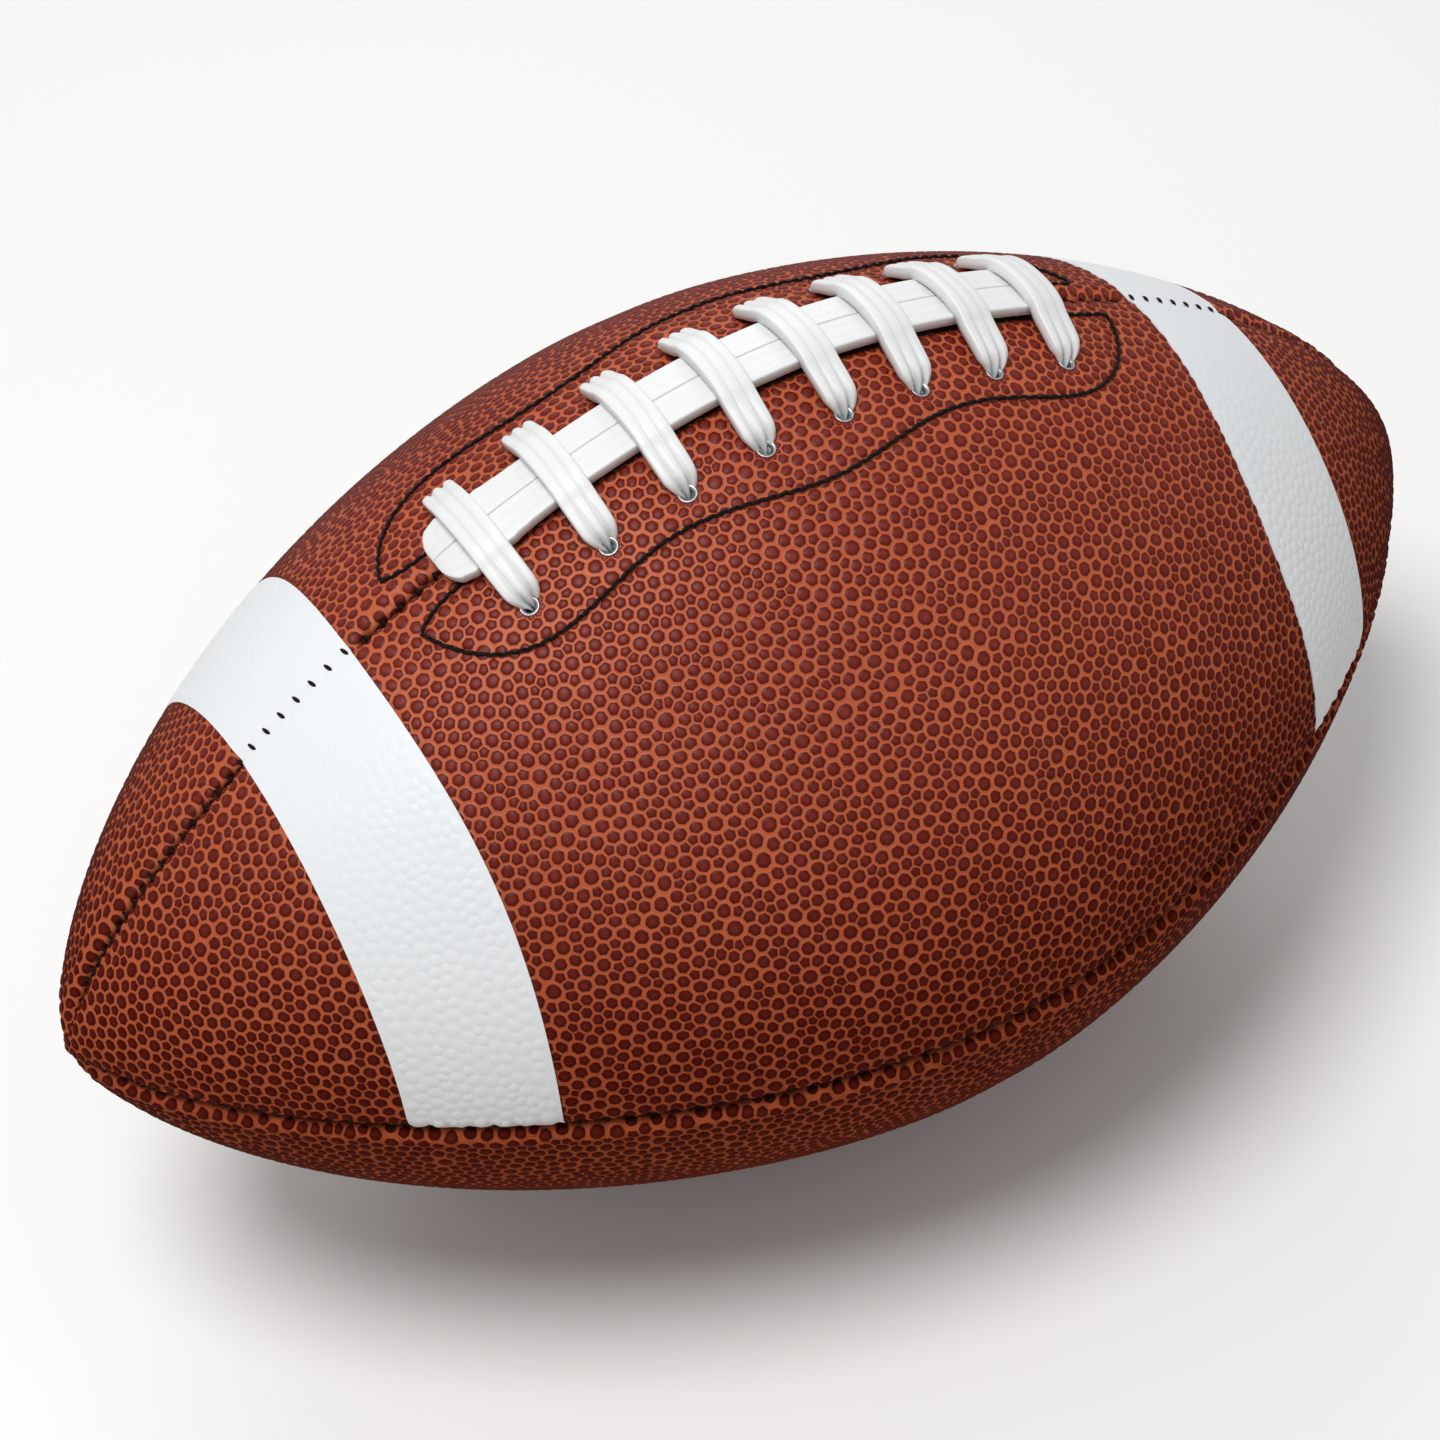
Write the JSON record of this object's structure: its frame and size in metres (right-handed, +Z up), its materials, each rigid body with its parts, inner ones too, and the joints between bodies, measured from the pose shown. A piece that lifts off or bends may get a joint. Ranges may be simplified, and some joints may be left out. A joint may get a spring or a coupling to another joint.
{
  "type": "american football",
  "caption": "Prolate leather ball of sewn, lined panels over an air bladder, with a laced slit on top and a needle valve on its rear side.",
  "frame": {"origin": "centre of the ball's bounding box, laces included, which lies on the ball's middle plane, about 3 mm above its long axis", "axes": "+X along the ball's long axis, to the right as seen from the front, +Z up through the laces, -Y towards the front"},
  "size_m": [0.2828, 0.1668, 0.1729],
  "materials": {
    "leather": "satin",
    "stripe_coat": "satin",
    "lace_white": "satin",
    "thread_black": "matte",
    "seam_thread": "matte",
    "lining_cloth": "matte",
    "facing_leather": "matte",
    "bladder_rubber": "matte",
    "valve_rubber": "matte",
    "eyelet_metal": "polished"
  },
  "bodies": {
    "root": {"panel_front_top": "leather", "panel_back_top": "leather", "panel_front_bottom": "leather", "panel_back_bottom": "leather", "lining_front_top": "lining_cloth", "lining_back_top": "lining_cloth", "lining_front_bottom": "lining_cloth", "lining_back_bottom": "lining_cloth", "stripe_front_left": "stripe_coat", "stripe_front_right": "stripe_coat", "stripe_back_left": "stripe_coat", "stripe_back_right": "stripe_coat", "facing_front": "facing_leather", "facing_back": "facing_leather", "tongue": "facing_leather", "eyelets": "eyelet_metal", "lace_crosses": "lace_white", "lace_bar": "lace_white", "thread_seam_top": "seam_thread", "thread_seam_front": "seam_thread", "thread_seam_bottom": "seam_thread", "thread_seam_back": "seam_thread", "thread_facing_front": "thread_black", "thread_facing_back": "thread_black", "bladder": "bladder_rubber", "valve_housing": "valve_rubber", "valve_plug": "valve_rubber"}
  },
  "joints": []
}
